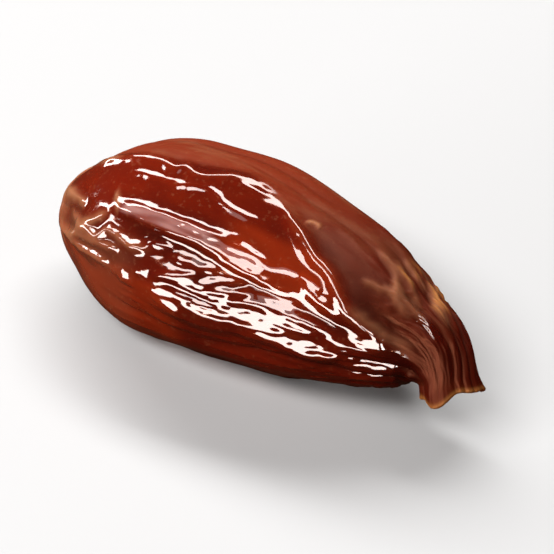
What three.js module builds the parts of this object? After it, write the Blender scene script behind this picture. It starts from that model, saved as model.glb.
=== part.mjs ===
// A dried date, stone and cap gone, lying on its side: one piece of glossy wrinkled fruit.
// Millimetres, +Z up. +X runs to the gathered stem end with its flared collar, -X to the blunt end.
// The origin is under the middle of the fruit, on the surface that it lies on.
import * as THREE from "three";

// Driving dimensions
const LENGTH = 39.8; // blunt end to collar rim, along the fruit's middle line
const HALF_WIDTH = 9.0; // at the fattest place
const HALF_HEIGHT = 8.5; // at the fattest place, before the underside is pressed flat
const COLLAR_START = 36.5; // where the neck turns into the collar, along the middle line
const REST_PRESS = 1.05; // how far the underside is pressed flat where it rests
const REST_BLEND = 0.3; // soft edge of that flat spot

// The fruit's half outline: [distance from the blunt end, radius as a share of the half width].
const OUTLINE = [
  [0, 0],
  [0.3, 0.19],
  [1.3, 0.37],
  [3.1, 0.55],
  [5, 0.715],
  [7.5, 0.865],
  [11, 0.965],
  [15.6, 1],
  [20.5, 0.94],
  [25.4, 0.84],
  [29.4, 0.725],
  [32.4, 0.585],
  [34.6, 0.455],
  [36.3, 0.36],
  [37.6, 0.3],
  [38.4, 0.28],
  [39.25, 0.29],
];
// From the collar's outer edge, over its rim and down to the floor of the gathered mouth.
const MOUTH = [
  [39.67, 0.3],
  [39.8, 0.27],
  [39.4, 0.225],
  [38.5, 0.17],
  [37.8, 0.1],
  [37.6, 0],
];

// The middle line arches up and back, and the collar turns down and to the front at its end.
const ARCH_UP = 1.1;
const ARCH_BACK = 0.8;
const ARCH_CENTRE = 22;
const BEND_START = 34.8;
const BEND_LENGTH = 3.8;
const BEND_ANGLE = 57; // degrees
const BEND_TO_FRONT = 0.44; // the rest of the turn is downwards

// Flat sides round the fruit: the direction that each faces in degrees, 0 for the front (-Y) and 90 for the
// top, and how far it turns over the fruit's length.
const SIDES = [
  [115, 26],
  [74, 3],
  [42, 24],
  [2, 12],
  [-40, 24],
  [-90, 24],
  [-139, 24],
  [166, 26],
];
const SIDE_SHARPNESS = 14;
const TWIST_CENTRE = 0.4;

// Long folds of the skin. Each follows a path of places: a share of the length, and an angle round the
// fruit in degrees. half is the half width and high the height in millimetres, wide a spreading of half
// towards the end of the path. A sharp fold has a narrow top or floor.
const FOLDS = [
  // The wavy crest along the top, in two parts
  {
    path: [[-0.06, 93], [0.12, 90], [0.28, 89], [0.36, 87], [0.43, 95], [0.58, 91]],
    half: 1.2,
    high: 0.3,
    form: "sharp",
  },
  { path: [[0.48, 97], [0.57, 83], [0.67, 67], [0.78, 46], [0.9, 22]], half: 1.0, high: 0.5 },
  // The raised wedge and the creases under it
  {
    path: [[0.15, 56], [0.27, 54], [0.4, 54], [0.52, 51], [0.64, 48]],
    half: 0.6,
    wide: 1.8,
    high: 0.45,
    form: "flat",
  },
  {
    path: [[0.2, 45], [0.3, 42], [0.41, 38], [0.54, 42], [0.68, 53]],
    half: 0.9,
    high: -0.14,
    form: "sharp",
  },
  {
    path: [[0.3, 30], [0.45, 31], [0.6, 38], [0.75, 36], [0.95, 40]],
    half: 0.9,
    high: -0.18,
    form: "sharp",
  },
  // The belly's swelling and the creases under it
  { path: [[0.16, 14], [0.33, 14], [0.5, 14], [0.65, 17], [0.8, 18], [0.97, 26]], half: 2.6, high: 0.5 },
  { path: [[0.14, -5], [0.4, -5], [0.65, -3], [0.9, 0]], half: 0.9, high: -0.35, form: "sharp" },
  { path: [[0.2, -26], [0.5, -30], [0.85, -24]], half: 1.0, high: -0.4, form: "sharp" },
  // The narrow ridge that hangs from the crest, a dent of the blunt end, and creases behind the crest
  { path: [[0.56, 62], [0.67, 50], [0.77, 43], [0.87, 36], [0.97, 31]], half: 0.85, high: 0.15 },
  { path: [[0.01, 4], [0.1, 6], [0.2, 8]], half: 0.95, high: -0.3, form: "sharp" },
  { path: [[-0.12, -36], [0.1, -34], [0.36, -30]], half: 3.8, high: 0.7 },
  { path: [[0.08, 128], [0.37, 124], [0.66, 121]], half: 0.95, high: -0.3, form: "sharp" },
  { path: [[0.3, 112], [0.57, 110], [0.84, 100]], half: 0.9, high: -0.22, form: "sharp" },
];
const PATH_STEPS = 120;
const FOLD_TAPER = 0.3; // share of a path over which its fold rises and dies away

// More folds round the back and underside, laid by a rule with fixed random draws.
const BACK_FOLDS = 11;
const BACK_FROM = 142;
const BACK_TO = 318;

// Gathers that run into the collar and, weaker, into the blunt end.
const NECK_PLEATS = 13;
const NECK_PLEAT_DEPTH = 0.32;
const TIP_PLEATS = 7;
const TIP_PLEAT_DEPTH = 0.35;

// The collar's ragged rim stands out in lobes.
const LOBE_REACH = 0.32;
const LOBE_FLARE = 0.09;

const RINGS_OUTSIDE = 58;
const RINGS_MOUTH = 10;
const SECTORS = 80;
const RADIANS = Math.PI / 180;

const smooth = (low, high, value) => THREE.MathUtils.smoothstep(value, low, high);

// A fixed random draw from 0 to 1 for a pair of whole numbers.
function draw(index, salt) {
  const spread = Math.sin(index * 12.9898 + salt * 78.233) * 43758.5453;
  return spread - Math.floor(spread);
}

// The value at a share from 0 to 1 of the way along a list, on a smooth curve through it.
function along(values, share) {
  const last = values.length - 1;
  const place = THREE.MathUtils.clamp(share, 0, 1) * last;
  const start = Math.min(Math.floor(place), last - 1);
  const t = place - start;
  const [a, b] = [values[start], values[start + 1]];
  const before = values[Math.max(start - 1, 0)];
  const after = values[Math.min(start + 2, last)];
  const slopeIn = (b - before) / 2;
  const slopeOut = (after - a) / 2;
  const square = 3 * (b - a) - 2 * slopeIn - slopeOut;
  const cube = slopeIn + slopeOut - 2 * (b - a);
  return a + slopeIn * t + square * t ** 2 + cube * t ** 3;
}

// The shortest turn from one direction to another, in radians.
const turn = (angle) => Math.atan2(Math.sin(angle), Math.cos(angle));

const FOLD_FORMS = {
  round: (q) => Math.exp(-(q ** 2)),
  flat: (q) => Math.exp(-(q ** 4)),
  sharp: (q) => Math.exp(-1.4 * Math.sqrt(q ** 2 + 0.02)),
};

// Folds for the hidden sides: creases and ridges by turns, each wandering a little.
function backFolds() {
  return Array.from({ length: BACK_FOLDS }, (_, i) => {
    const centre = BACK_FROM + ((BACK_TO - BACK_FROM) * (i + 0.5)) / BACK_FOLDS;
    const start = 0.05 + 0.22 * draw(i, 1);
    const reach = 0.42 + 0.3 * draw(i, 2);
    const sunk = i % 2 === 0;
    return {
      path: [0, 1, 2, 3].map((k) => [start + (reach * k) / 3, centre + 14 * (draw(i, 3 + k) - 0.5)]),
      half: 0.8 + 0.7 * draw(i, 8),
      high: sunk ? -0.35 - 0.35 * draw(i, 9) : 0.2 + 0.3 * draw(i, 9),
      form: sunk ? "sharp" : "round",
    };
  });
}

// A fold with its path as many small steps: each one's share of the length and angle in radians.
function traced(fold) {
  const columns = [0, 1].map((k) => fold.path.map((place) => place[k]));
  const steps = Array.from({ length: PATH_STEPS + 1 }, (_, i) => i / PATH_STEPS);
  const places = steps.map((share) => along(columns[0], share));
  const angles = steps.map((share) => along(columns[1], share) * RADIANS);
  return { ...fold, places, angles };
}
const ALL_FOLDS = [...FOLDS, ...backFolds()].map(traced);

// A traced fold's angle at a share of the length, and how fast it changes there.
function bearing({ places, angles }, u) {
  let i = 1;
  while (i < places.length - 1 && places[i] < u) i += 1;
  const rate = (angles[i] - angles[i - 1]) / (places[i] - places[i - 1]);
  return [angles[i - 1] + rate * (u - places[i - 1]), rate];
}

// How far the skin stands out of the plain fruit, by the place along it and the angle round it.
function relief(u, angle, radius) {
  let out = 0;
  for (const fold of ALL_FOLDS) {
    const share = (u - fold.places[0]) / (fold.places[PATH_STEPS] - fold.places[0]);
    if (share <= 0 || share >= 1) continue;
    const taper = smooth(0, FOLD_TAPER, share) * smooth(0, FOLD_TAPER, 1 - share);
    const [foldAngle, rate] = bearing(fold, u);
    const away = (turn(angle - foldAngle) * radius) / Math.hypot(1, (rate * radius) / LENGTH);
    const half = fold.half * (1 + ((fold.wide ?? 1) - 1) * share);
    out += fold.high * taper * FOLD_FORMS[fold.form ?? "round"](away / half);
  }
  const evenNeck = smooth(0.66, 0.86, u) * (1 - 0.55 * smooth(0.9, 1, u));
  const neck = evenNeck * (0.75 + 0.3 * Math.sin(3 * angle + 2) - 0.2 * Math.sin(5 * angle + 7 * u));
  const neckTurn =
    (NECK_PLEATS * angle) / 2 + 0.9 * Math.sin(2 * angle + 9 * u) + 0.6 * Math.sin(3 * angle) + 3 * (u - 0.7);
  out -= NECK_PLEAT_DEPTH * neck * (1 - Math.abs(Math.sin(neckTurn)));
  const tip = smooth(0, 0.03, u) * (1 - smooth(0.06, 0.17, u));
  const tipTurn = (TIP_PLEATS * angle) / 2 + 0.8 * Math.sin(angle + 20 * u);
  out -= TIP_PLEAT_DEPTH * tip * (1 - Math.abs(Math.sin(tipTurn)));
  // Slow unevenness of the whole fruit
  out += 0.14 * Math.sin(9 * u + 2 * angle) * Math.sin(14 * u - 3 * angle + 1) * smooth(0, 0.1, u);
  return out;
}

// The radius of the rounded many-sided cross-section, for an inner radius of 1.
function sided(u, angle) {
  let sum = 0;
  for (const [side, twist] of SIDES) {
    const facing = (side - twist * (u - TWIST_CENTRE)) * RADIANS;
    sum += Math.max(0, Math.cos(angle - facing)) ** SIDE_SHARPNESS;
  }
  const strength = smooth(0.02, 0.2, u) * (1 - smooth(0.7, 0.88, u));
  return 1 + strength * (sum ** (-1 / SIDE_SHARPNESS) - 1);
}

// The middle line's place at a distance along it from the blunt end.
function middle(distance) {
  const bend = BEND_ANGLE * RADIANS;
  const bendRadius = BEND_LENGTH / bend;
  const turned = (THREE.MathUtils.clamp(distance - BEND_START, 0, BEND_LENGTH) / BEND_LENGTH) * bend;
  const past = Math.max(0, distance - BEND_START - BEND_LENGTH);
  const ahead = Math.min(distance, BEND_START) + bendRadius * Math.sin(turned) + past * Math.cos(bend);
  const aside = bendRadius * (1 - Math.cos(turned)) + past * Math.sin(bend);
  const arch = ((distance - ARCH_CENTRE) / ARCH_CENTRE) ** 2;
  return new THREE.Vector3(
    ahead,
    -ARCH_BACK * arch - aside * BEND_TO_FRONT,
    -ARCH_UP * arch - aside * Math.sqrt(1 - BEND_TO_FRONT ** 2),
  );
}

// A point of the skin from the plain outline's distance and radius and the angle round it.
function skinPoint(x, radius, angle) {
  const u = x / LENGTH;
  const rim = smooth(COLLAR_START, LENGTH, x);
  const lobe = Math.sin(3 * angle - 0.8) + 0.5 * Math.sin(5 * angle - 2.4);
  const section = radius * sided(u, angle) * (1 + LOBE_FLARE * rim * lobe);
  const fade = THREE.MathUtils.clamp(radius / 2, 0, 1);
  const out = section + relief(u, angle, Math.max(radius, 1)) * fade;
  const centre = middle(x);
  const ahead = middle(x + 0.01).sub(centre).normalize();
  const up = new THREE.Vector3(0, 0, 1).addScaledVector(ahead, -ahead.z).normalize();
  const back = new THREE.Vector3().crossVectors(up, ahead);
  return centre
    .addScaledVector(back, -Math.cos(angle) * out)
    .addScaledVector(up, (Math.sin(angle) * out * HALF_HEIGHT) / HALF_WIDTH)
    .addScaledVector(ahead, LOBE_REACH * rim * fade * lobe);
}

// Presses the underside flat where the fruit rests, with a soft edge.
function pressed(z, floor) {
  const above = z - floor;
  if (above >= REST_BLEND) return z;
  if (above <= -REST_BLEND) return floor;
  return floor + (above + REST_BLEND) ** 2 / (4 * REST_BLEND);
}

function dateGeometry() {
  const point = ([x, share]) => new THREE.Vector2(share * HALF_WIDTH, x);
  const curve = (stations) => new THREE.SplineCurve(stations.map(point));
  const outside = curve(OUTLINE).getPoints(RINGS_OUTSIDE);
  const inside = curve([OUTLINE[OUTLINE.length - 1], ...MOUTH]).getPoints(RINGS_MOUTH).slice(1);
  const profile = [...outside, ...inside];
  profile[0].x = 0;
  profile[profile.length - 1].x = 0;
  const geometry = new THREE.LatheGeometry(profile, SECTORS);
  const place = geometry.getAttribute("position");
  // The lathe lays each column of the profile in turn, from one pole to the other.
  for (let i = 0; i < place.count; i += 1) {
    const column = Math.floor(i / profile.length) % SECTORS;
    const { x: radius, y: distance } = profile[i % profile.length];
    const moved = skinPoint(distance, radius, (-column / SECTORS) * 2 * Math.PI);
    place.setXYZ(i, moved.x, moved.y, moved.z);
  }
  geometry.computeBoundingBox();
  const floor = geometry.boundingBox.min.z + REST_PRESS;
  for (let i = 0; i < place.count; i += 1) place.setZ(i, pressed(place.getZ(i), floor));
  geometry.computeBoundingBox();
  const { min, max } = geometry.boundingBox;
  geometry.translate(-(min.x + max.x) / 2, -(min.y + max.y) / 2, -min.z);
  geometry.computeVertexNormals();
  return geometry;
}

function date() {
  const skin = new THREE.MeshStandardMaterial({ color: 0x7a2410, roughness: 0.22, metalness: 0 });
  const mesh = new THREE.Mesh(dateGeometry(), skin);
  mesh.name = "date";
  return mesh;
}

const group = new THREE.Group();
group.add(date());
export default group;
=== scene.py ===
import math
from types import SimpleNamespace

import bmesh
import bpy
import numpy as np
from mathutils import Matrix, Vector, noise


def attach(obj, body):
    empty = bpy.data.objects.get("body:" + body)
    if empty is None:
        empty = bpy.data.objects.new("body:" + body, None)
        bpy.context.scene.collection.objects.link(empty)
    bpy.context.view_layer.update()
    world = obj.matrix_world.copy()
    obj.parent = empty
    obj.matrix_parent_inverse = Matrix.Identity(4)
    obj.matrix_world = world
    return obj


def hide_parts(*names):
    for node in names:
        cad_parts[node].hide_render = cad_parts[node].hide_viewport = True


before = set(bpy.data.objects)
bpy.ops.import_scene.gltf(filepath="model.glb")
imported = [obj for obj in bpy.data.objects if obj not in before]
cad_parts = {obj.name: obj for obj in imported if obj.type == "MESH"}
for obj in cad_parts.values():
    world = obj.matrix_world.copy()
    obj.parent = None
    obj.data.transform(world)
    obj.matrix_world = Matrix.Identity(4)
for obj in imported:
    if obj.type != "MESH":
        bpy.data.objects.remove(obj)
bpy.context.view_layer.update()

MM = 0.001

# The plain fruit, with the same sizes as its CAD solid
LENGTH = 39.8
HALF_WIDTH = 9.0
HALF_HEIGHT = 8.5
COLLAR_START = 36.5
REST_PRESS = 1.05
REST_BLEND = 0.3

# Half outline: the distance from the blunt end in millimetres, and the radius as a share of the half
# width. It runs along the fruit, over the collar's rim and down to the floor of the gathered mouth.
OUTLINE = [
    (0, 0),
    (0.3, 0.19),
    (1.3, 0.37),
    (3.1, 0.55),
    (5, 0.715),
    (7.5, 0.865),
    (11, 0.965),
    (15.6, 1),
    (20.5, 0.94),
    (25.4, 0.84),
    (29.4, 0.725),
    (32.4, 0.585),
    (34.6, 0.455),
    (36.3, 0.36),
    (37.6, 0.3),
    (38.4, 0.28),
    (39.25, 0.29),
    (39.67, 0.3),
    (39.8, 0.27),
    (39.4, 0.225),
    (38.5, 0.17),
    (37.8, 0.1),
    (37.6, 0),
]

# The middle line arches up and back, and the collar turns down and to the front at its end.
ARCH_UP = 1.1
ARCH_BACK = 0.8
ARCH_CENTRE = 22
BEND_START = 34.8
BEND_LENGTH = 3.8
BEND_ANGLE = 57
BEND_TO_FRONT = 0.44

# Flat sides round the fruit: the direction that each faces in degrees, 0 for the front and 90 for the
# top, and how far it turns over the fruit's length.
SIDES = ((115, 26), (74, 3), (42, 24), (2, 12), (-40, 24), (-90, 24), (-139, 24), (166, 26))
SIDE_SHARPNESS = 14
TWIST_CENTRE = 0.4

# The crest that parts the glossy front from the duller back: share of the length, and degrees round
CREST = ((0, 92), (0.15, 88), (0.3, 89), (0.45, 95), (0.6, 79), (0.75, 52), (0.9, 22))


def fold(half, high, *path, wide=1, form="round", pale=0):
    """A long fold of the skin: its half width and height in millimetres, and the places on its path.

    Each place is a share of the length and an angle round the fruit in degrees. wide spreads the
    fold towards the end of its path, form is its cross-section, and pale is how pale the skin is
    painted on top of it: painted highlights on some pleats, dry skin on others.
    """
    return dict(half=half, high=high, path=path, wide=wide, form=form, pale=pale)


# Long folds, which the CAD solid has too
MAIN_FOLDS = [
    # The crest, in two stretches
    fold(1.2, 0.3, (-0.06, 93), (0.12, 90), (0.28, 89), (0.36, 87), (0.43, 95), (0.58, 91), form="sharp"),
    fold(1.0, 0.5, (0.48, 97), (0.57, 83), (0.67, 67), (0.78, 46), (0.9, 22)),
    # The raised wedge on the front, and the crease under it
    fold(0.6, 0.45, (0.15, 56), (0.27, 54), (0.4, 54), (0.52, 51), (0.64, 48), wide=1.8, form="flat"),
    fold(0.9, -0.14, (0.2, 45), (0.3, 42), (0.41, 38), (0.54, 42), (0.68, 53), form="sharp"),
    # The full belly and the creases above and below it
    fold(2.6, 0.5, (0.16, 14), (0.33, 14), (0.5, 14), (0.65, 17), (0.8, 18), (0.97, 26)),
    fold(0.9, -0.18, (0.3, 30), (0.45, 31), (0.6, 38), (0.75, 36), (0.95, 40), form="sharp"),
    fold(0.9, -0.35, (0.14, -5), (0.4, -5), (0.65, -3), (0.9, 0), form="sharp"),
    fold(1.0, -0.4, (0.2, -26), (0.5, -30), (0.85, -24), form="sharp"),
    # The ridge that meets the crest in a V
    fold(0.85, 0.15, (0.56, 62), (0.67, 50), (0.77, 43), (0.87, 36), (0.97, 31)),
    # The blunt end's crease, and the swelling under it
    fold(0.95, -0.3, (0.01, 4), (0.1, 6), (0.2, 8), form="sharp"),
    fold(3.8, 0.7, (-0.12, -36), (0.1, -34), (0.36, -30)),
    # Two creases behind the crest
    fold(0.95, -0.3, (0.08, 128), (0.37, 124), (0.66, 121), form="sharp"),
    fold(0.9, -0.22, (0.3, 112), (0.57, 110), (0.84, 100), form="sharp"),
]
BACK_FOLDS = 11
BACK_FROM = 142
BACK_TO = 318
MAIN_TAPER = 0.3

# Thin raised pleats of loose skin, which catch the light as lines
CREST_ZIGZAG = (
    (-0.04, 93), (0.08, 90), (0.18, 90), (0.21, 92), (0.25, 90), (0.28, 86),
    (0.303, 90), (0.326, 86), (0.36, 86), (0.39, 90), (0.41, 94), (0.5, 99),
)
BLUNT_RIM = (
    (-0.03, 30), (0.012, 64), (0.017, 80), (0.024, 98), (0.036, 104),
    (0.06, 100), (0.08, 95), (0.11, 91), (0.16, 89),
)
UPPER_CURL = (
    (0.02, 12), (0.082, 18), (0.104, 28), (0.132, 32),
    (0.17, 32), (0.203, 38), (0.263, 36), (0.33, 36),
)
THIN_PLEATS = [
    # The crest in two stretches, the line below it, and a spot behind it painted pale as a glint
    fold(0.55, 0.18, *CREST_ZIGZAG),
    fold(0.5, 0.28, (0.5, 96), (0.55, 87), (0.6, 79), (0.65, 70), (0.7, 64), (0.77, 46), (0.84, 36)),
    fold(0.36, 0.15, (0.17, 80), (0.29, 78), (0.37, 80), (0.45, 75), (0.54, 76)),
    fold(0.26, 0.15, (0.58, 90), (0.592, 93), (0.602, 94), (0.615, 92), pale=0.9),
    # The raised wedge's two edges, and what lies under its tip
    fold(0.5, 0.2, (0.2, 57), (0.25, 60), (0.33, 58), (0.43, 59), (0.49, 60), (0.55, 55), (0.59, 51)),
    fold(0.5, 0.2, (0.2, 56), (0.29, 51), (0.35, 50), (0.41, 50), (0.49, 46), (0.56, 48)),
    fold(0.45, 0.2, (0.34, 39), (0.42, 38), (0.48, 40), (0.54, 44), (0.58, 51)),
    fold(0.5, 0.2, (0.23, 34), (0.29, 37), (0.36, 42)),
    fold(0.45, 0.2, (0.33, 24), (0.38, 28), (0.45, 34)),
    fold(0.42, 0.2, (0.43, 28), (0.49, 34), (0.54, 40), (0.6, 46)),
    fold(0.42, 0.2, (0.44, 24), (0.52, 31), (0.57, 37)),
    # The narrow loop that hangs from the crest
    fold(0.45, 0.24, (0.64, 54), (0.67, 50), (0.7, 46), (0.73, 43), (0.78, 42)),
    fold(0.4, 0.15, (0.63, 58), (0.66, 56), (0.7, 53)),
    fold(0.45, 0.15, (0.74, 46), (0.8, 41), (0.87, 35)),
    # The belly's long pleats
    fold(0.5, 0.16, (0.27, 15), (0.36, 18), (0.44, 18), (0.5, 21), (0.58, 27), (0.66, 26)),
    fold(0.5, 0.2, (0.32, 17), (0.4, 10), (0.46, 6), (0.56, 6)),
    fold(0.42, 0.22, (0.4, 15), (0.5, 14), (0.6, 17)),
    fold(0.5, 0.2, (0.6, 29), (0.7, 30), (0.78, 23), (0.83, 26), (0.9, 37)),
    fold(0.5, 0.2, (0.54, 7), (0.63, 10), (0.71, 7), (0.78, 12), (0.87, 24)),
    fold(0.42, 0.22, (0.62, 20), (0.7, 18), (0.8, 18)),
    fold(0.5, 0.2, (0.3, -2), (0.45, -4), (0.6, 0)),
    # The blunt end's curls and rim, painted pale as highlights
    fold(0.4, 0.36, *UPPER_CURL, pale=0.4),
    fold(0.42, 0.42, (0.0, 11), (0.08, 14), (0.126, 16), (0.16, 18), (0.24, 18), pale=0.4),
    fold(0.36, 0.34, (0.06, 18), (0.1, 22), (0.13, 26), (0.186, 28), (0.25, 31), pale=0.3),
    fold(0.3, 0.12, (0.175, 64), (0.19, 58), (0.21, 51), pale=0.7),
    fold(0.45, 0.24, (0.005, 80), (0.02, 66), (0.05, 56), (0.11, 47), pale=0.8),
    fold(0.35, 0.16, *BLUNT_RIM, pale=0.9),
    fold(0.42, 0.24, (0.05, 37), (0.1, 33), (0.136, 39), (0.19, 50), pale=0.6),
    fold(0.5, 0.24, (0.22, 15), (0.26, 20), (0.31, 22)),
    # Slanting puckers over the shoulder of the neck
    fold(0.36, 0.12, (0.74, 76), (0.78, 78), (0.8, 82), (0.83, 79), pale=0.35),
    fold(0.36, 0.12, (0.75, 52), (0.81, 46), (0.85, 44), (0.9, 44), pale=0.35),
    fold(0.4, 0.16, (0.72, 108), (0.78, 103), (0.81, 87), (0.83, 78), (0.87, 73), pale=0.35),
    fold(0.4, 0.14, (0.76, 114), (0.79, 109), (0.82, 104), (0.87, 92), pale=0.3),
    fold(0.36, 0.14, (0.78, 96), (0.81, 90), (0.86, 84), (0.89, 82), pale=0.35),
    fold(0.36, 0.14, (0.77, 122), (0.81, 119), (0.85, 118), pale=0.35),
    fold(0.4, 0.2, (0.78, 134), (0.83, 134), (0.87, 118), (0.9, 106), pale=0.45),
    fold(0.4, 0.2, (0.79, 150), (0.84, 145), (0.88, 116), (0.91, 102), pale=0.45),
    fold(0.45, 0.12, (0.66, 130), (0.76, 126), (0.84, 112)),
    fold(0.45, 0.1, (0.62, 104), (0.72, 96), (0.82, 88)),
]
THIN_TAPER = 0.22

# Flat facets: share of the length, degrees round, the direction that each faces, its reach along and
# round, and where it is given, its slope along the fruit. Broad ones lie under the folds, and small ones
# smooth the folds away.
BROAD_FACETS = (
    (0.4, 38, 44, 0.2, 9),
    (0.62, 50, 44, 0.06, 10),
    (0.74, 38, 43, 0.1, 8),
    (0.49, 16, 31, 0.13, 9),
    (0.7, 13, 30, 0.06, 8),
)
SMALL_FACETS = (
    (0.32, 54, 61, 0.1, 3.5),
    (0.52, 50, 55, 0.05, 6),
    (0.46, 95, 86, 0.045, 7),
    (0.33, 39, 32, 0.03, 4),
    (0.275, 18, 31, 0.022, 5, 0.075),
    (0.585, 22, 31, 0.06, 6),
    (0.69, 14, 31, 0.05, 8),
)
FACET_FLATNESS = 0.9

# Gathers that run into the collar, fewer ones at the blunt end, and the fruit's slow unevenness
NECK_PLEATS = 13
NECK_PLEAT_DEPTH = 0.32
TIP_PLEATS = 7
TIP_PLEAT_DEPTH = 0.35
UNEVENNESS = 0.14

# Fine relief: heights in millimetres, and numbers of pleats round the fruit. The heights for the hidden
# sides, at the back and underneath, are added to the plain ones.
LONG_WRINKLE = 0.12
LONG_WRINKLE_HIDDEN = 0.22
FINE_WRINKLE = 0.03
FINE_WRINKLE_HIDDEN = 0.09
SLOW_SWELL = 0.1
BELLY_PLEATS = 60
BELLY_PLEAT = 0.05
BELLY_PLEAT_SPREAD = 0.13
BELLY_PLEAT_MOST = 0.16
BELLY_BEAD = 0.03
BELLY_STREAK = 0.05
WEDGE_CRINKLE = 0.08
RAGGED_HEIGHT = 0.12
PUCKER_HEIGHT = 0.3
FINE_NECK_PLEATS = 24
FINE_NECK_PLEAT = 0.18
HAIR_NECK_PLEAT = 0.08
NECK_VEIN = 0.14
NECK_CRUMPLE = 0.22
FACET_CRINKLE = 0.08
FACET_GRIT = 0.035

# Smooth spots between the belly's pleats: share of the length, degrees, and reach of each in those units
BARE_SPOTS = ((0.585, 22, 0.05, 4), (0.69, 14, 0.04, 5), (0.615, 6, 0.04, 4))

# Patches of the skin: where each starts and ends along the fruit and how softly, as shares of the length,
# and the same round it in degrees
WEDGE_TOP = (0.22, 0.46, 0.05, 53, 57, 3)
RAGGED_BELLY = (0.62, 0.78, 0.05, 0, 22, 8)
PUCKERED_BELLY = (0.53, 0.64, 0.03, 27, 42, 4)
GOLDEN_NECK = (0.8, 0.87, 0.03, 108, 146, 8)
MOIST_NECK = (0.868, 0.905, 0.012, 76, 86, 5)
ORANGE_MIDDLE = (0.5, 0.68, 0.08, 40, 68, 8)
ORANGE_LOW_END = (0.06, 0.36, 0.08, -30, 14, 12)
# Painted sheen on the wedge
WEDGE_PAINTED_SHEEN = (0.23, 0.42, 0.03, 52, 57, 1.5)
# Painted light on the blunt end's low side
PAINTED_LIGHT_LOW_END = (0.05, 0.24, 0.08, -30, 26, 12)

# The lobes of the collar's rim: their reach forward in millimetres, and their flare as a share of the
# radius
LOBE_REACH = 0.32
LOBE_FLARE = 0.09

# Mesh fineness
COLUMNS = 340
RINGS = 290
PATH_STEPS = 120
OUTLINE_STEPS = 4000


def smooth(low, high, value):
    """0 below low, 1 above high, and a soft step between them."""
    share = np.clip((value - low) / (high - low), 0, 1)
    return share * share * (3 - 2 * share)


def until(low, high, value):
    """1 below low, 0 above high, and a soft step between them."""
    return 1 - smooth(low, high, value)


def band(low, high, soft, value):
    """1 between low and high, and 0 past them by soft."""
    return smooth(low - soft, low, value) * until(high, high + soft, value)


def patch(area, at):
    """1 on a patch of the skin, and 0 past its soft edges."""
    start, end, soft, low, high, soft_degrees = area
    return band(start, end, soft, at.u) * band(low, high, soft_degrees, at.degrees)


def draw(index, salt):
    """A fixed random draw from 0 to 1 for a pair of whole numbers."""
    spread = math.sin(index * 12.9898 + salt * 78.233) * 43758.5453
    return spread - math.floor(spread)


def along(values, share):
    """The value at a share from 0 to 1 of the way along a list, on a smooth curve through it."""
    values = np.asarray(values, float)
    last = len(values) - 1
    place = np.clip(share, 0, 1) * last
    first = np.minimum(np.floor(place).astype(int), last - 1)
    t = place - first
    a = values[first]
    b = values[first + 1]
    slope_in = (b - values[np.maximum(first - 1, 0)]) / 2
    slope_out = (values[np.minimum(first + 2, last)] - a) / 2
    square = 3 * (b - a) - 2 * slope_in - slope_out
    cube = slope_in + slope_out - 2 * (b - a)
    return a + slope_in * t + square * t**2 + cube * t**3


def turn(angle):
    """The shortest turn from one direction to another, in radians."""
    return np.arctan2(np.sin(angle), np.cos(angle))


FOLD_FORMS = {
    "round": lambda q: np.exp(-(q**2)),
    "flat": lambda q: np.exp(-(q**4)),
    "sharp": lambda q: np.exp(-1.4 * np.sqrt(q**2 + 0.02)),
}


def back_folds():
    """Folds for the hidden sides: creases and ridges by turns, each wandering a little."""
    folds = []
    for i in range(BACK_FOLDS):
        centre = BACK_FROM + (BACK_TO - BACK_FROM) * (i + 0.5) / BACK_FOLDS
        start = 0.05 + 0.22 * draw(i, 1)
        reach = 0.42 + 0.3 * draw(i, 2)
        path = [(start + reach * k / 3, centre + 14 * (draw(i, 3 + k) - 0.5)) for k in range(4)]
        half = 0.8 + 0.7 * draw(i, 8)
        if i % 2 == 0:
            folds.append(fold(half, -0.35 - 0.35 * draw(i, 9), *path, form="sharp"))
        else:
            folds.append(fold(half, 0.2 + 0.3 * draw(i, 9), *path))
    return folds


def traced(path):
    """A fold path's shares of the length and its angles in degrees, in many small steps."""
    steps = np.linspace(0, 1, PATH_STEPS)
    return along([place for place, _ in path], steps), along([degrees for _, degrees in path], steps)


def path_degrees(path, u):
    """The angle of a fold path at a share of the length, in degrees."""
    places, angles = traced(path)
    return np.interp(u, places, angles)


def folded(folds, at, wander, taper_share):
    """Height of a list of folds at each place of the skin. wander shifts them sideways, in radians."""
    out = np.zeros_like(at.angle)
    for each in folds:
        places, angles = traced(each["path"])
        angles = np.radians(angles)
        share = (at.u - places[0]) / (places[-1] - places[0])
        taper = smooth(0, taper_share, share) * smooth(0, taper_share, 1 - share)
        lean = np.interp(at.u, places, np.gradient(angles, places)) * at.reach / LENGTH
        away = turn(at.angle - np.interp(at.u, places, angles) - wander) * at.reach / np.hypot(1, lean)
        half = each["half"] * (1 + (each["wide"] - 1) * np.clip(share, 0, 1))
        out += each["high"] * taper * FOLD_FORMS[each["form"]](away / half)
    return out


def gathers(u, angle):
    """Pleats that gather into the collar and into the blunt end, and the fruit's slow unevenness."""
    neck = smooth(0.66, 0.86, u) * (1 - 0.55 * smooth(0.9, 1, u))
    neck = neck * (0.75 + 0.3 * np.sin(3 * angle + 2) - 0.2 * np.sin(5 * angle + 7 * u))
    neck_turn = NECK_PLEATS * angle / 2 + 3 * (u - 0.7)
    neck_turn += 0.9 * np.sin(2 * angle + 9 * u) + 0.6 * np.sin(3 * angle)
    tip = smooth(0, 0.03, u) * until(0.06, 0.17, u)
    tip_turn = TIP_PLEATS * angle / 2 + 0.8 * np.sin(angle + 20 * u)
    uneven = np.sin(9 * u + 2 * angle) * np.sin(14 * u - 3 * angle + 1) * smooth(0, 0.1, u)
    out = -NECK_PLEAT_DEPTH * neck * (1 - np.abs(np.sin(neck_turn)))
    out -= TIP_PLEAT_DEPTH * tip * (1 - np.abs(np.sin(tip_turn)))
    return out + UNEVENNESS * uneven


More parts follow.
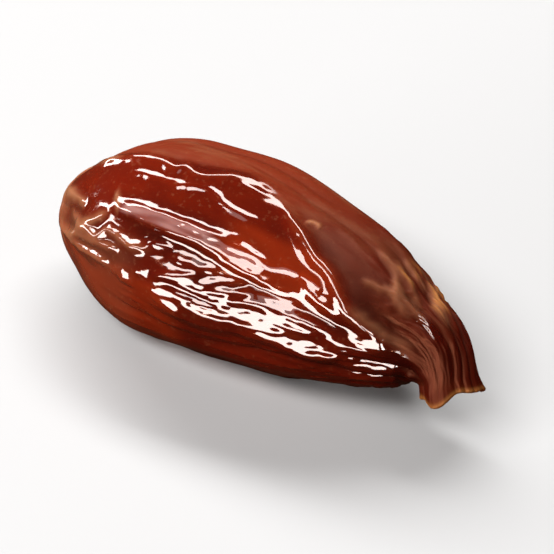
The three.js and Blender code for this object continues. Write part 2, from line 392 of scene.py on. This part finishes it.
def sided(u, angle):
    """Radius of the rounded many-sided cross-section, for an inner radius of 1."""
    total = np.zeros_like(angle)
    for side, twist in SIDES:
        facing = np.radians(side - twist * (u - TWIST_CENTRE))
        total += np.maximum(0, np.cos(angle - facing)) ** SIDE_SHARPNESS
    strength = smooth(0.02, 0.2, u) * until(0.7, 0.88, u)
    return 1 + strength * (total ** (-1 / SIDE_SHARPNESS) - 1)


def middle(distance):
    """The middle line's place at a distance along it from the blunt end."""
    bend = math.radians(BEND_ANGLE)
    bend_radius = BEND_LENGTH / bend
    turned = np.clip(distance - BEND_START, 0, BEND_LENGTH) / BEND_LENGTH * bend
    past = np.maximum(0, distance - BEND_START - BEND_LENGTH)
    ahead = np.minimum(distance, BEND_START) + bend_radius * np.sin(turned) + past * math.cos(bend)
    aside = bend_radius * (1 - np.cos(turned)) + past * math.sin(bend)
    arch = ((distance - ARCH_CENTRE) / ARCH_CENTRE) ** 2
    back = -ARCH_BACK * arch - aside * BEND_TO_FRONT
    up = -ARCH_UP * arch - aside * math.sqrt(1 - BEND_TO_FRONT**2)
    return np.stack([ahead, back, up], axis=-1)


def unit(vectors):
    """The same directions with a length of 1."""
    return vectors / np.linalg.norm(vectors, axis=-1, keepdims=True)


def ring_places():
    """Each ring's distance along the fruit and plain radius, evenly spaced over the half outline."""
    share = np.linspace(0, 1, OUTLINE_STEPS)
    distance = along([place for place, _ in OUTLINE], share)
    radius = np.maximum(along([part for _, part in OUTLINE], share), 0) * HALF_WIDTH
    steps = np.hypot(np.diff(distance), np.diff(radius))
    run = np.concatenate([[0], np.cumsum(steps)])
    even = np.linspace(0, run[-1], RINGS + 1)
    return np.interp(even, run, distance), np.interp(even, run, radius)


def plain_fruit():
    """The places of the plain fruit by ring and column: distances, angles and radii before any fold."""
    ring_distance, ring_radius = ring_places()
    column_angle = np.arange(COLUMNS) * 2 * math.pi / COLUMNS
    x = np.repeat(ring_distance[:, None], COLUMNS, axis=1)
    radius = np.repeat(ring_radius[:, None], COLUMNS, axis=1)
    angle = np.repeat(column_angle[None, :], RINGS + 1, axis=0)
    inside = np.zeros_like(x)
    inside[np.argmax(ring_distance) :] = 1
    return SimpleNamespace(
        x=x,
        u=x / LENGTH,
        angle=angle,
        degrees=np.degrees(turn(angle - math.pi / 4)) + 45,  # -135 to 225, so that the seam is underneath
        radius=radius,
        reach=np.maximum(radius, 1),
        inside=inside,
        points=np.stack([x, -np.cos(angle) * radius, np.sin(angle) * radius], axis=-1),
    )


def noise_field(at, size_along, size_round, salt):
    """Smooth noise over the skin, with cells of those sizes in millimetres along and round the fruit."""
    shift = np.array([draw(salt, 21), draw(salt, 22), draw(salt, 23)]) * 50
    scaled = at.points / np.array([size_along, size_round, size_round])
    flat = (scaled.reshape(-1, 3) + shift).tolist()
    values = [noise.noise(point) for point in flat]
    return np.array(values).reshape(at.u.shape)


def veins(field, width):
    """1 where a noise field passes through 0, in branching lines, and 0 away from there."""
    return np.exp(-((field / width) ** 2))


def pleated(turned):
    """Narrow ridges, 1 high, one for each half turn."""
    return 1 - np.abs(np.sin(turned))


def pressed(z, floor):
    """Heights with everything below floor pressed flat, with a soft edge."""
    above = np.clip(z - floor, -REST_BLEND, REST_BLEND)
    soft = floor + (above + REST_BLEND) ** 2 / (4 * REST_BLEND)
    return np.where(z - floor >= REST_BLEND, z, soft)


def blurred(field, reach):
    """A field averaged round the fruit and along it, over some columns and rings."""
    out = field
    for _ in range(3):
        rolled = [np.roll(out, k, axis=1) for k in range(-reach, reach + 1)]
        out = np.mean(rolled, axis=0)
        wide = np.pad(out, ((reach, reach), (0, 0)), mode="edge")
        out = np.mean([wide[k : k + out.shape[0]] for k in range(2 * reach + 1)], axis=0)
    return out


def skin_kinds(at):
    """Where the skin is wrinkled, drawn smooth, hidden or behind the crest."""
    u = at.u
    degrees = at.degrees
    from_crest = degrees - path_degrees(CREST, u)
    hidden = np.maximum(smooth(142, 170, degrees), until(-60, -30, degrees))
    behind = smooth(1, 8, from_crest) * (1 - 0.5 * hidden)

    # The belly is crinkled from its low edge up to the crease above it.
    low_edge = 4 - 16 * smooth(0.45, 0.65, u)
    belly = band(low_edge, 24, 7, degrees) * band(0.3, 0.8, 0.08, u)

    # The skin is drawn smooth over the crown, behind the crest and at the blunt end, and less so between
    # the belly and the wedge.
    crown = band(34, 100, 6, degrees) * until(0.62, 0.72, u)
    shoulder = band(0, 60, 10, from_crest) * until(0.72, 0.82, u) * (1 - 0.45 * smooth(0.4, 0.6, u))
    drawn = np.maximum(np.maximum(crown, shoulder), until(0.2, 0.32, u))
    calm = (1 - 0.85 * drawn) * (1 - 0.7 * band(8, 48, 8, degrees) * until(0.56, 0.66, u))

    # The neck is gathered all round but for its front.
    flank = smooth(-30, -10, degrees) * until(36, 56, degrees) * until(0.9, 0.94, u)
    neck_front = 1 - 0.8 * flank
    return SimpleNamespace(
        from_crest=from_crest,
        hidden=hidden,
        behind=behind,
        belly=belly,
        calm=calm,
        neck_front=neck_front,
        patches=np.clip(0.5 + 0.9 * noise_field(at, 7.0, 5.0, 8), 0.12, 1.2),
    )


def loose_wrinkles(at, kinds):
    """Long branching ridges of loose skin, a finer set of them, and a slow swell."""
    long_cells = noise_field(at, 14.0, 2.2, 3) + 0.25 * noise_field(at, 4.0, 1.4, 4)
    fine_cells = noise_field(at, 7.0, 1.1, 5) + 0.25 * noise_field(at, 2.0, 0.7, 6)
    out = (LONG_WRINKLE + LONG_WRINKLE_HIDDEN * kinds.hidden) * veins(long_cells, 0.16)
    out += (FINE_WRINKLE + FINE_WRINKLE_HIDDEN * kinds.hidden) * veins(fine_cells, 0.22)
    return kinds.calm * (out * kinds.patches + SLOW_SWELL * noise_field(at, 9.0, 3.2, 10))


def belly_crinkles(at, kinds, fray):
    """Beaded pleats and streaks on the belly, and the roughness of three patches near it."""
    turned = BELLY_PLEATS * at.angle / 2 + 5 * at.u
    turned += 1.8 * noise_field(at, 12.0, 3.0, 7) + 0.3 * noise_field(at, 4.0, 1.6, 9) + 0.7 * fray
    high = np.clip(BELLY_PLEAT + BELLY_PLEAT_SPREAD * noise_field(at, 6.0, 2.4, 13), 0.0, BELLY_PLEAT_MOST)
    for place, facing, long, wide in BARE_SPOTS:
        bare = np.exp(-(((at.u - place) / long) ** 2) - ((at.degrees - facing) / wide) ** 2)
        high = high * (1 - 0.9 * bare)
    beads = BELLY_BEAD * noise_field(at, 1.6, 0.9, 11) + BELLY_STREAK * noise_field(at, 2.2, 0.55, 18)
    puckers = noise_field(at, 3.5, 1.0, 25) + 0.25 * noise_field(at, 1.4, 0.6, 26)
    out = kinds.belly * (high * pleated(turned) + beads)
    out += WEDGE_CRINKLE * patch(WEDGE_TOP, at) * noise_field(at, 1.3, 0.8, 15)
    out += RAGGED_HEIGHT * patch(RAGGED_BELLY, at) * noise_field(at, 2.6, 2.0, 16)
    return out + PUCKER_HEIGHT * patch(PUCKERED_BELLY, at) * puckers


def neck_crumples(at, kinds, wander, fray):
    """Fine gathers, branching veins and crumples of the neck."""
    turned = FINE_NECK_PLEATS * at.angle / 2 + 9 * at.u + 3.0 * wander + 2.4 * noise_field(at, 3.0, 2.2, 12)
    gathered = smooth(0.74, 0.9, at.u) * (1 - 0.7 * smooth(0.9, 0.96, at.u)) * kinds.neck_front
    out = FINE_NECK_PLEAT * kinds.patches * pleated(turned)
    out += HAIR_NECK_PLEAT * pleated(2.1 * turned + 2 * fray)
    out += NECK_VEIN * veins(noise_field(at, 5.0, 1.3, 14), 0.14)
    crumpled = band(0.83, 0.92, 0.03, at.u) * kinds.neck_front
    return gathered * out + NECK_CRUMPLE * crumpled * noise_field(at, 2.0, 1.3, 17)


def flattened(out, level, at, place, middle_degrees, facing, long, wide):
    """The radii with one flat facet cut into them, level away from the middle line."""
    aside = np.maximum(np.cos(np.radians(at.degrees - facing)), 0.3)
    flat = level * math.cos(math.radians(middle_degrees - facing)) / aside
    near = np.exp(-(((at.u - place) / long) ** 4) - ((at.degrees - middle_degrees) / wide) ** 4)
    return out + FACET_FLATNESS * near * (flat - out)


def column_at(degrees):
    """The column of the skin at an angle round the fruit."""
    return round(degrees / 360 * COLUMNS)


def broadly_faceted(out, at):
    """The radii with broad facets, which are flat round the fruit and keep its curve along it."""
    for place, middle_degrees, *rest in BROAD_FACETS:
        column = column_at(middle_degrees)
        out = flattened(out, out[:, column : column + 1], at, place, middle_degrees, *rest)
    return out


def finely_faceted(out, at):
    """The radii with small facets, which are flat but for a crinkle and slope as the fruit does there."""
    crinkle = FACET_CRINKLE * noise_field(at, 1.3, 0.5, 21) + FACET_GRIT * noise_field(at, 0.7, 0.45, 24)
    for place, middle_degrees, facing, long, wide, *given in SMALL_FACETS:
        column = column_at(middle_degrees)
        near = np.abs(at.u[:, column] - place) < long
        slope, level = np.polyfit(at.u[near, column] - place, out[near, column], 1)
        slope = given[0] * LENGTH if given else slope
        level = level + slope * (at.u - place) + crinkle
        out = flattened(out, level, at, place, middle_degrees, facing, long, wide)
    return out


def placed(at, out, forward):
    """Points at those radii round the middle line, moved forward along it."""
    centre = middle(at.x)
    ahead = unit(middle(at.x + 0.01) - centre)
    up = np.zeros_like(ahead)
    up[..., 2] = 1
    up = unit(up - ahead * ahead[..., 2:3])
    back = np.cross(up, ahead)
    points = centre - back * (np.cos(at.angle) * out)[..., None]
    points += up * (np.sin(at.angle) * out * HALF_HEIGHT / HALF_WIDTH)[..., None]
    return points + ahead * forward[..., None]


def settled(points):
    """The points pressed flat underneath and set on the floor, with their box's middle over the origin."""
    low = points[..., 2].min() + REST_PRESS
    points[..., 2] = pressed(points[..., 2], low)
    points -= (points.min(axis=(0, 1)) + points.max(axis=(0, 1))) / 2 * np.array([1, 1, 0])
    points[..., 2] -= points[..., 2].min()
    return points


def colour_masks(at, kinds, near, thin_wander):
    """The skin's colour masks, each from 0 to 1. near is its height over the plain fruit."""
    u = at.u
    degrees = at.degrees

    # Ridges stand above the skin round them, at 1, and creases below it, at 0.
    stand = np.clip(0.5 + 1.6 * (near - blurred(near, 5)), 0, 1)

    # Thin dry skin is amber, and the amber is partly painted light that catches it: the ridges of the
    # gathers at the back of the neck, and the collar's rim.
    golden = patch(GOLDEN_NECK, at) * smooth(0.55, 0.8, stand)
    amber = np.maximum(0.7 * golden, smooth(0.986, 1.002, u))

    # The gloss ends at the neck and at the crest. The skin past it is dull and brown, the brown partly
    # its own and partly a painted sheen, and redder just behind the crest towards the neck.
    gloss_end = 0.78 + 0.08 * until(38, 60, degrees)
    past_gloss = np.maximum(smooth(gloss_end, gloss_end + 0.1, u), kinds.behind)
    red_flank = smooth(0.56, 0.66, u) * until(0.82, 0.9, u) * until(12, 48, kinds.from_crest)
    brown = np.maximum(past_gloss * (1 - 0.75 * red_flank), 0.8 * until(0.015, 0.05, u))
    dull = np.maximum(past_gloss, 0.8 * until(0.008, 0.035, u)) * (1 - patch(MOIST_NECK, at))

    # A painted sheen, a grey reflection in streaks, lies on the wedge. Painted light makes the blunt end
    # and its low side paler, and the tops of some pleats are pale, partly painted highlights, partly dry
    # skin.
    haze = patch(WEDGE_PAINTED_SHEEN, at) * np.clip(0.5 + noise_field(at, 3.0, 0.5, 20), 0, 0.9)
    # Painted light makes the blunt end and its low side paler.
    painted_end_light = 0.4 * until(0.025, 0.07, u) * band(-60, 60, 15, degrees)
    painted_end_light = np.maximum(painted_end_light, 0.14 * patch(PAINTED_LIGHT_LOW_END, at))
    # Pale pleat tops: partly painted highlights, partly dry skin.
    pale_pleats = [dict(pleat, high=pleat["pale"]) for pleat in THIN_PLEATS if pleat["pale"]]
    pale = np.clip(painted_end_light + folded(pale_pleats, at, thin_wander, THIN_TAPER), 0, 1)
    return {
        "stand": stand,
        "amber": amber,
        "brown": brown,
        "dull": dull,
        "neck": np.maximum(smooth(0.8, 0.9, u), 0.85 * kinds.behind * smooth(0.42, 0.82, u)),
        "flush": np.maximum(patch(ORANGE_MIDDLE, at), patch(ORANGE_LOW_END, at)),
        "pale": pale,
        "haze": haze,
    }


def skin_grid():
    """The skin's points in metres by ring and column, and its colour masks."""
    at = plain_fruit()
    kinds = skin_kinds(at)

    # Folds wander sideways in long waves, and thin pleats fray besides.
    wander = 0.5 * noise_field(at, 4.0, 6.0, 1) + 0.18 * noise_field(at, 1.6, 4.0, 2)
    fray = noise_field(at, 0.8, 0.6, 19)
    round_radius = np.maximum(at.radius, 2)
    thin_wander = (0.4 * wander + 0.14 * fray) / round_radius

    # Relief fades out where the radius does, and most of the fine relief inside the mouth.
    fade = np.clip(at.radius / 2, 0, 1)
    fine_fade = np.clip(at.radius / 3, 0, 1) * (1 - 0.8 * at.inside)
    broad = folded(MAIN_FOLDS + back_folds(), at, 0.6 * wander / round_radius, MAIN_TAPER)
    broad += gathers(at.u, at.angle)
    fine = folded(THIN_PLEATS, at, thin_wander, THIN_TAPER) + loose_wrinkles(at, kinds)
    fine += belly_crinkles(at, kinds, fray) + neck_crumples(at, kinds, wander, fray)
    relief = broad * fade + fine * fine_fade

    rim = smooth(COLLAR_START, LENGTH, at.x)
    lobe = np.sin(3 * at.angle - 0.8) + 0.5 * np.sin(5 * at.angle - 2.4)
    section = at.radius * sided(at.u, at.angle) * (1 + LOBE_FLARE * rim * lobe)
    out = finely_faceted(broadly_faceted(section, at) + relief, at)
    points = settled(placed(at, out, LOBE_REACH * rim * fade * lobe))
    return points * MM, colour_masks(at, kinds, relief * fade, thin_wander)


def date_skin():
    """The whole fruit as one closed skin."""
    points, masks = skin_grid()
    bm = bmesh.new()
    bmesh.ops.create_uvsphere(bm, u_segments=COLUMNS, v_segments=RINGS, radius=1)
    layers = {name: bm.verts.layers.float.new(name) for name in masks}
    for vert in bm.verts:
        ring = round(math.acos(max(-1, min(1, vert.co.z))) / math.pi * RINGS)
        column = round(math.atan2(vert.co.y, vert.co.x) / (2 * math.pi) * COLUMNS) % COLUMNS
        vert.co = points[ring, column]
        for name, layer in layers.items():
            vert[layer] = float(masks[name][ring, column])
    bmesh.ops.recalc_face_normals(bm, faces=bm.faces)
    for face in bm.faces:
        face.smooth = True
    mesh = bpy.data.meshes.new("date_skin")
    bm.to_mesh(mesh)
    bm.free()
    skin = bpy.data.objects.new("date_skin", mesh)
    bpy.context.scene.collection.objects.link(skin)
    return skin


# Colours of the skin, in linear light
DEEP_RED = (0.09, 0.0045, 0.0014)
WARM_RED = (0.15, 0.0085, 0.002)
ORANGE = (0.235, 0.018, 0.003)
# Painted light on the ridges
PAINTED_RIDGE_LIGHT = (0.24, 0.04, 0.012)
# Brown of the dull skin, partly a painted sheen
UMBER = (0.215, 0.026, 0.008)
# Painted shade in the creases
PAINTED_CREASE_SHADE = (0.02, 0.003, 0.002)
NECK_SHADE = (0.27, 0.08, 0.03)
# Amber of thin skin, partly painted light on the rim and ridges
GOLD = (0.45, 0.17, 0.04)
# Tan of streaks, specks and dry skin, also used for painted highlights and painted light
TAN = (0.38, 0.15, 0.07)
# Grey of the painted sheen on the wedge
PAINTED_SHEEN_GREY = (0.36, 0.17, 0.15)

# The skin's patterns: cells to the metre
TONE_CELLS = 110
MOTTLE_CELLS = 700
STREAK_CELLS = 520
SPECK_CELLS = 2300
ROUGH_CELLS = 500
GRAIN_CELLS = 1100
FINE_GRAIN_CELLS = 2400

# The skin's gloss, and its grain with a height in metres
SYRUP_ROUGHNESS = 0.04
SYRUP_IOR = 1.6
SKIN_IOR = 1.42
SKIN_ROUGHNESS = (0.07, 0.13)
DULL_ROUGHNESS = 0.38
GRAIN_HEIGHT = 0.00012
GRAIN_STRENGTH = 0.2

# The paper under the fruit: how pale it is, and the dark red that the skin mirrors of it
PAPER_CELLS = 60
PAPER_SHADE = (0.58, 0.6)
PAPER_ROUGHNESS = 0.9
PAPER_MIRRORED = (0.05, 0.016, 0.009)


def new_material(name):
    """A node material with its shader, and short ways to add and join nodes."""
    material = bpy.data.materials.new(name)
    material.use_nodes = True
    nodes = material.node_tree.nodes
    links = material.node_tree.links
    shader = nodes["Principled BSDF"]

    def add(kind, **settings):
        node = nodes.new(kind)
        for key, value in settings.items():
            setattr(node, key, value)
        return node

    return material, shader, add, links.new


def socket_named(sockets, name, kind):
    """The socket with that name that carries that kind of value."""
    return [socket for socket in sockets if socket.name == name and socket.type == kind][0]


def skin_material():
    """Glossy translucent date skin: deep red, orange where thin, painted shade in creases, amber rim partly
    painted light.
    """
    material, shader, add, join = new_material("date_skin")
    place = add("ShaderNodeTexCoord")

    def feed(socket, value):
        """Sets a socket to a number or a colour, or joins another socket to it."""
        if isinstance(value, tuple):
            socket.default_value = (*value, 1)
        elif isinstance(value, float):
            socket.default_value = value
        else:
            join(value, socket)

    def noise_at(scale, detail, along_share=1.0):
        spread = add("ShaderNodeMapping")
        spread.inputs["Scale"].default_value = (along_share, 1, 1)
        join(place.outputs["Object"], spread.inputs["Vector"])
        texture = add("ShaderNodeTexNoise")
        texture.inputs["Scale"].default_value = scale
        texture.inputs["Detail"].default_value = detail
        join(spread.outputs["Vector"], texture.inputs["Vector"])
        return texture.outputs["Fac"]

    def ramp(value, low=0.0, high=1.0, start=0.0, end=1.0):
        """start up to low, end from high on, and in step between them."""
        span = add("ShaderNodeMapRange", clamp=True)
        span.inputs["From Min"].default_value = low
        span.inputs["From Max"].default_value = high
        span.inputs["To Min"].default_value = start
        span.inputs["To Max"].default_value = end
        join(value, span.inputs["Value"])
        return span.outputs["Result"]

    def mixed(amount, first, second, blend="MIX"):
        node = add("ShaderNodeMix", data_type="RGBA", blend_type=blend)
        feed(socket_named(node.inputs, "A", "RGBA"), first)
        feed(socket_named(node.inputs, "B", "RGBA"), second)
        feed(socket_named(node.inputs, "Factor", "VALUE"), amount)
        return socket_named(node.outputs, "Result", "RGBA")

    def mask(name):
        return add("ShaderNodeAttribute", attribute_name=name).outputs["Fac"]

    def times(first, second):
        node = add("ShaderNodeMath", operation="MULTIPLY")
        feed(node.inputs[0], first)
        feed(node.inputs[1], second)
        return node.outputs["Value"]

    def times_plus(first, second, third):
        node = add("ShaderNodeMath", operation="MULTIPLY_ADD")
        feed(node.inputs[0], first)
        feed(node.inputs[1], second)
        feed(node.inputs[2], third)
        return node.outputs["Value"]

    # The flesh shines through in slow tones, mottled, with an orange flush.
    colour = mixed(ramp(noise_at(TONE_CELLS, 2, 0.5), 0.38, 0.62), DEEP_RED, WARM_RED)
    colour = mixed(mask("flush"), colour, ORANGE)
    mottle = ramp(noise_at(MOTTLE_CELLS, 4, 0.6), 0.45, 0.75)
    colour = mixed(times(mottle, 0.25), colour, ORANGE)

    # The duller skin is brown, partly its own colour and partly a painted sheen, with tan streaks, and all
    # of it has small specks.
    colour = mixed(mask("brown"), colour, UMBER)
    streaks = times(ramp(noise_at(STREAK_CELLS, 4, 0.3), 0.48, 0.7), mask("brown"))
    colour = mixed(times(streaks, 0.4), colour, TAN)
    specks = ramp(noise_at(SPECK_CELLS, 2), 0.6, 0.72)
    colour = mixed(times(specks, 0.15), colour, TAN)

    # Painted shade darkens the creases and painted light makes the ridges lighter and ruddier, and the neck
    # is darker than the rest.
    colour = mixed(times(ramp(mask("stand"), 0.5, 0.1), 0.55), colour, PAINTED_CREASE_SHADE)
    colour = mixed(times(ramp(mask("stand"), 0.6, 0.95), 0.3), colour, PAINTED_RIDGE_LIGHT)
    colour = mixed(mask("neck"), colour, NECK_SHADE, "MULTIPLY")
    # Pale pleat tops and ends: painted highlights and painted light, with some dry skin
    colour = mixed(mask("pale"), colour, TAN)
    # Painted sheen in streaks on the wedge
    colour = mixed(mask("haze"), colour, PAINTED_SHEEN_GREY)
    # Amber of thin skin, partly painted light on the rim and the neck's ridges
    colour = mixed(mask("amber"), colour, GOLD)
    join(colour, shader.inputs["Base Color"])

    shader.inputs["Subsurface Weight"].default_value = 0.15
    shader.inputs["Subsurface Radius"].default_value = (1.0, 0.25, 0.1)
    shader.inputs["Subsurface Scale"].default_value = 0.003
    shader.inputs["IOR"].default_value = SKIN_IOR
    shader.inputs["Specular Tint"].default_value = (0.8, 0.3, 0.15, 1.0)

    # A coat of syrup, which the dull skin lacks
    join(ramp(mask("dull"), start=1.0, end=0.0), shader.inputs["Coat Weight"])
    shader.inputs["Coat Roughness"].default_value = SYRUP_ROUGHNESS
    shader.inputs["Coat IOR"].default_value = SYRUP_IOR
    least_rough, most_rough = SKIN_ROUGHNESS
    rough = ramp(noise_at(ROUGH_CELLS, 3), start=least_rough, end=most_rough)
    join(times_plus(mask("dull"), DULL_ROUGHNESS, rough), shader.inputs["Roughness"])

    bump = add("ShaderNodeBump")
    bump.inputs["Strength"].default_value = GRAIN_STRENGTH
    bump.inputs["Distance"].default_value = GRAIN_HEIGHT
    grain = times_plus(noise_at(FINE_GRAIN_CELLS, 3, 0.5), 0.5, noise_at(GRAIN_CELLS, 3, 0.6))
    join(grain, bump.inputs["Height"])
    join(bump.outputs["Normal"], shader.inputs["Normal"])
    return material


def paper_material():
    """Matte white paper, which the glossy skin mirrors as a dark red."""
    material, shader, add, join = new_material("white_paper")
    texture = add("ShaderNodeTexNoise")
    texture.inputs["Scale"].default_value = PAPER_CELLS
    shade = add("ShaderNodeMapRange")
    shade.inputs["To Min"].default_value = PAPER_SHADE[0]
    shade.inputs["To Max"].default_value = PAPER_SHADE[1]
    join(texture.outputs["Fac"], shade.inputs["Value"])
    rays = add("ShaderNodeLightPath")
    seen = add("ShaderNodeMix", data_type="RGBA")
    socket_named(seen.inputs, "A", "RGBA").default_value = (*PAPER_MIRRORED, 1)
    join(rays.outputs["Is Camera Ray"], socket_named(seen.inputs, "Factor", "VALUE"))
    join(shade.outputs["Result"], socket_named(seen.inputs, "B", "RGBA"))
    join(socket_named(seen.outputs, "Result", "RGBA"), shader.inputs["Base Color"])
    shader.inputs["Roughness"].default_value = PAPER_ROUGHNESS
    shader.inputs["Specular IOR Level"].default_value = 0.0
    return material


# The view: 32 degrees round to the collar's side and 45 degrees down, through a long lens. The camera
# and the lamps aim at the middle of the fruit.
VIEW_ROUND = 32
VIEW_DOWN = 45
VIEW_DISTANCE = 0.5
LENS = 385
NEAREST_SEEN = 0.01
AIM = Vector((0.0, 0.0, 0.0078))

# The studio: soft boxes round the fruit, a dim warm glow and a floor, in metres
BOX_DISTANCE = 0.5
GLOW_COLOUR = (1, 0.6, 0.45)
GLOW_STRENGTH = 0.05
FLOOR_HALF = 2


def direction(round_degrees, up_degrees):
    """The direction from the fruit at an angle round it, 0 in front, and an angle above the floor."""
    a = math.radians(round_degrees)
    e = math.radians(up_degrees)
    return Vector((math.sin(a) * math.cos(e), -math.cos(a) * math.cos(e), math.sin(e)))


def make_camera():
    data = bpy.data.cameras.new("camera")
    data.lens = LENS
    data.clip_start = NEAREST_SEEN
    camera = bpy.data.objects.new("camera", data)
    bpy.context.scene.collection.objects.link(camera)
    toward = direction(VIEW_ROUND, VIEW_DOWN)
    camera.location = AIM + toward * VIEW_DISTANCE
    camera.rotation_euler = toward.to_track_quat("Z", "Y").to_euler()
    bpy.context.scene.camera = camera


def soft_box(name, toward, long, wide, brightness, shine=True, fill=True):
    """A soft box aimed at the fruit, with its long side along the fruit.

    shine is whether the fruit and the floor mirror it, and fill whether it lights them.
    """
    data = bpy.data.lights.new(name, "AREA")
    data.shape = "RECTANGLE"
    data.size = long
    data.size_y = wide
    data.energy = brightness * math.pi * long * wide
    lamp = bpy.data.objects.new(name, data)
    bpy.context.scene.collection.objects.link(lamp)
    toward = Vector(toward).normalized()
    lamp.location = AIM + toward * BOX_DISTANCE
    upright = toward.cross(Vector((1, 0, 0))).normalized()
    side = upright.cross(toward).normalized()
    lamp.rotation_euler = Matrix((side, upright, toward)).transposed().to_euler()
    lamp.visible_diffuse = fill
    lamp.visible_glossy = shine


def make_lights():
    soft_box("back_box", (-0.4, 0.5, 0.8), long=0.8, wide=0.13, brightness=12)
    soft_box("key_box", (-0.15, -0.54, 0.84), long=0.45, wide=0.12, brightness=12)
    soft_box("haze_box", (0.0, -0.4, 0.92), long=0.3, wide=0.1, brightness=1.5, fill=False)
    soft_box("front_box", (0.03, -0.97, 0.2), long=0.77, wide=0.2, brightness=15, fill=False)
    soft_box("blunt_end_box", (-0.98, -0.1, 0.2), long=0.45, wide=0.05, brightness=14, fill=False)
    soft_box("neck_box", (0.8, -0.57, 0.2), long=0.08, wide=0.14, brightness=20, fill=False)
    soft_box("fill_box", (-0.7, -0.7, 0.14), long=0.6, wide=0.14, brightness=7, shine=False)
    world = bpy.data.worlds.new("studio")
    bpy.context.scene.world = world
    world.use_nodes = True
    glow = world.node_tree.nodes["Background"]
    glow.inputs["Color"].default_value = (*GLOW_COLOUR, 1)
    glow.inputs["Strength"].default_value = GLOW_STRENGTH


def make_floor():
    bm = bmesh.new()
    bmesh.ops.create_grid(bm, x_segments=1, y_segments=1, size=FLOOR_HALF)
    mesh = bpy.data.meshes.new("floor")
    bm.to_mesh(mesh)
    bm.free()
    floor = bpy.data.objects.new("floor", mesh)
    bpy.context.scene.collection.objects.link(floor)
    mesh.materials.append(paper_material())


make_camera()
make_lights()
make_floor()
bpy.context.scene.view_settings.view_transform = "Standard"

skin = date_skin()
skin.data.materials.append(skin_material())
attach(skin, "root")
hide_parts("date")
